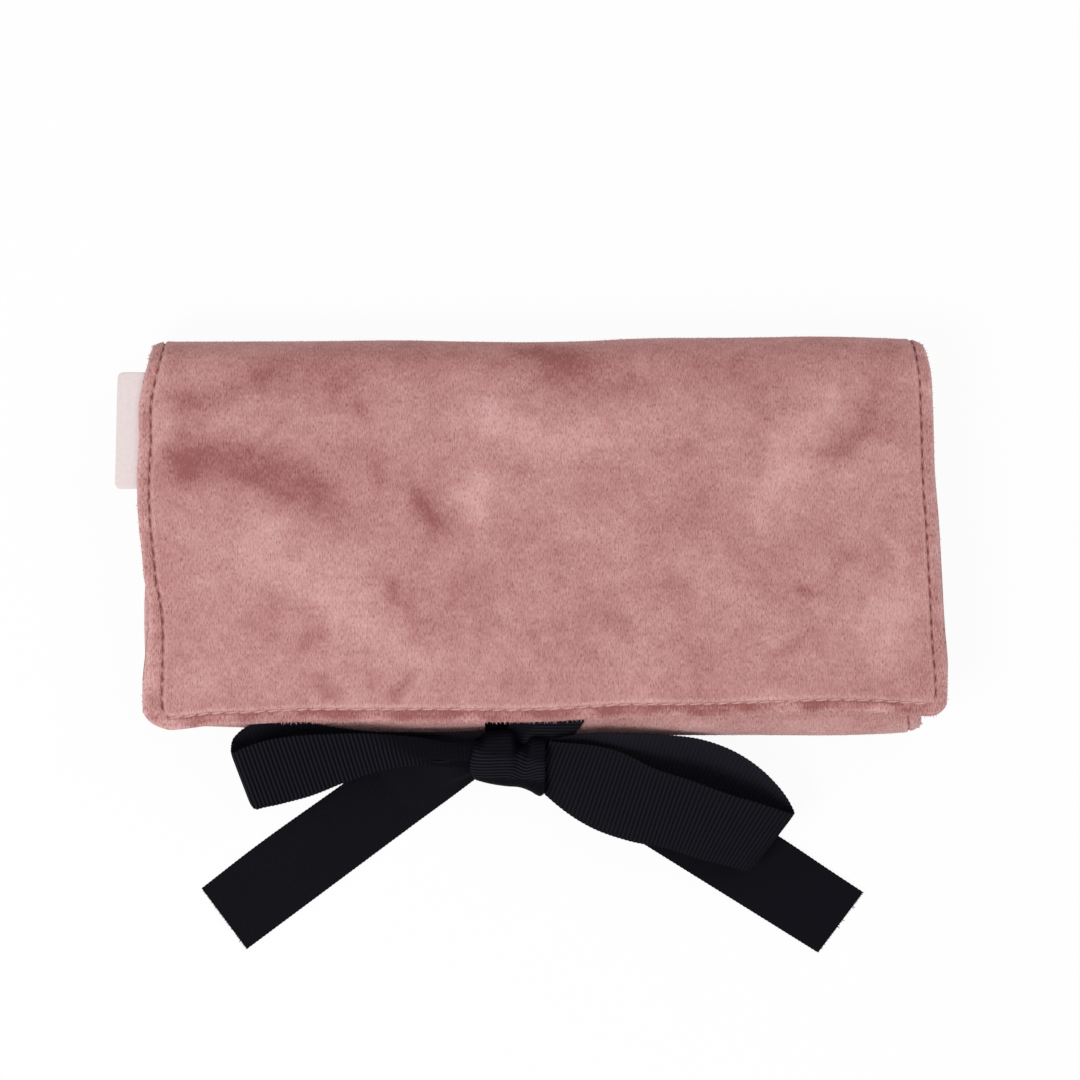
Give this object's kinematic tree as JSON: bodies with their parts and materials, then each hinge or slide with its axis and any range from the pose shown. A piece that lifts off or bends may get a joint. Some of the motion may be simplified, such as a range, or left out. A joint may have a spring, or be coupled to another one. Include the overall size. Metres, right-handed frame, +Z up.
{
  "type": "jewelry roll",
  "caption": "Velvet jewelry roll folded in three, with zipped pockets, a ring bar held by a snap inside and a grosgrain ribbon tied in a bow.",
  "frame": {"origin": "centre of the flat underside of the back panel, where the folded roll rests on a table", "axes": "+X along the folds, to the right in the picture; +Y from the hem towards the top fold; +Z up, out of the flap"},
  "size_m": [0.238, 0.1759, 0.0241],
  "materials": {
    "velvet": "dusty rose velvet, short pile",
    "wadding": "white polyester wadding",
    "lining": "rose woven lining, slight sheen",
    "ribbon": "black grosgrain, cross ribs",
    "label": "pale pink satin tape, bare",
    "tape": "rose herringbone zip tape",
    "coil": "rose nylon coil",
    "metal": "pale gold plated, polished"
  },
  "bodies": {
    "back": {"back_cover": "velvet", "back_wadding": "wadding", "back_lining": "lining", "back_pocket": "lining", "back_zip_tape_upper": "tape", "back_zip_tape_lower": "tape", "back_zip_coil": "coil", "back_zip_top_stop": "metal", "back_zip_bottom_stop": "metal", "ring_bar_anchor": "velvet", "snap_socket": "metal"},
    "top_fold_1": {"top_fold_cover_1": "velvet", "top_fold_lining_1": "lining"},
    "top_fold_2": {"top_fold_cover_2": "velvet", "top_fold_lining_2": "lining"},
    "top_fold_3": {"top_fold_cover_3": "velvet", "top_fold_lining_3": "lining"},
    "flap": {"flap_cover": "velvet", "flap_wadding": "wadding", "flap_lining": "lining", "flap_pocket": "lining", "flap_zip_tape_upper": "tape", "flap_zip_tape_lower": "tape", "flap_zip_coil": "coil", "flap_zip_top_stop": "metal", "flap_zip_bottom_stop": "metal", "label": "label", "flap_tie": "ribbon"},
    "bottom_fold_1": {"bottom_fold_cover_1": "velvet", "bottom_fold_lining_1": "lining"},
    "bottom_fold_2": {"bottom_fold_cover_2": "velvet", "bottom_fold_lining_2": "lining", "body_tie": "ribbon"},
    "inner_panel": {"inner_cover": "velvet", "inner_wadding": "wadding", "inner_lining": "lining", "inner_slip_pocket": "lining"},
    "ring_bar": {"ring_bar_cover": "velvet", "ring_bar_core": "wadding", "ring_bar_tab": "velvet", "snap_stud": "metal", "snap_cap": "metal"},
    "back_slider": {"back_zip_slider": "metal"},
    "back_pull": {"back_zip_pull": "metal"},
    "flap_slider": {"flap_zip_slider": "metal"},
    "flap_pull": {"flap_zip_pull": "metal"},
    "bow": {"knot": "ribbon", "left_loop": "ribbon", "right_loop": "ribbon", "left_tail": "ribbon", "right_tail": "ribbon"}
  },
  "joints": [
    {"name": "flap_fold_1", "type": "hinge", "parent": "back", "child": "top_fold_1", "pos_m": [0, 0.05038, 0], "axis": [-1, 0, 0], "range_deg": [0, 45]},
    {"name": "flap_fold_2", "type": "hinge", "parent": "top_fold_1", "child": "top_fold_2", "pos_m": [0, 0.057, 0.00662], "axis": [-1, 0, 0], "range_deg": [0, 45]},
    {"name": "flap_fold_3", "type": "hinge", "parent": "top_fold_2", "child": "top_fold_3", "pos_m": [0, 0.057, 0.01598], "axis": [-1, 0, 0], "range_deg": [0, 45]},
    {"name": "flap_fold_4", "type": "hinge", "parent": "top_fold_3", "child": "flap", "pos_m": [0, 0.05038, 0.0226], "axis": [-1, 0, 0], "range_deg": [0, 45]},
    {"name": "inner_fold_1", "type": "hinge", "parent": "back", "child": "bottom_fold_1", "pos_m": [0, -0.05337, 0], "axis": [1, 0, 0], "range_deg": [0, 60]},
    {"name": "inner_fold_2", "type": "hinge", "parent": "bottom_fold_1", "child": "bottom_fold_2", "pos_m": [0, -0.05833, 0.0086], "axis": [1, 0, 0], "range_deg": [0, 60]},
    {"name": "inner_fold_3", "type": "hinge", "parent": "bottom_fold_2", "child": "inner_panel", "pos_m": [0, -0.05337, 0.0172], "axis": [1, 0, 0], "range_deg": [0, 60]},
    {"name": "ring_bar_lift", "type": "hinge", "parent": "back", "child": "ring_bar", "pos_m": [-0.075, 0.0085, 0.0045], "axis": [0, -1, 0], "range_deg": [0, 27]},
    {"name": "back_zip_slide", "type": "slide", "parent": "back", "child": "back_slider", "axis": [-1, 0, 0], "range_m": [0, 0.1756]},
    {"name": "back_pull_swing", "type": "hinge", "parent": "back_slider", "child": "back_pull", "pos_m": [0.0878, 0.026, 0.00735], "axis": [0, 1, 0], "range_deg": [0, 180]},
    {"name": "flap_zip_slide", "type": "slide", "parent": "flap", "child": "flap_slider", "axis": [1, 0, 0], "range_m": [0, 0.1756]},
    {"name": "flap_pull_swing", "type": "hinge", "parent": "flap_slider", "child": "flap_pull", "pos_m": [-0.0878, 0.038, 0.01525], "axis": [0, 1, 0], "range_deg": [0, 180]},
    {"name": "bow_lift", "type": "hinge", "parent": "flap", "child": "bow", "pos_m": [0, -0.0563, 0.0182], "axis": [-1, 0, 0], "range_deg": [0, 60]}
  ],
  "couplings": [
    {"joint": "flap_fold_2", "follows": "flap_fold_1", "ratio": 1},
    {"joint": "flap_fold_3", "follows": "flap_fold_1", "ratio": 1},
    {"joint": "flap_fold_4", "follows": "flap_fold_1", "ratio": 1},
    {"joint": "inner_fold_1", "follows": "flap_fold_1", "ratio": 1.3333},
    {"joint": "inner_fold_2", "follows": "flap_fold_1", "ratio": 1.3333},
    {"joint": "inner_fold_3", "follows": "flap_fold_1", "ratio": 1.3333},
    {"joint": "ring_bar_lift", "follows": "flap_fold_1", "ratio": 0.6}
  ]
}
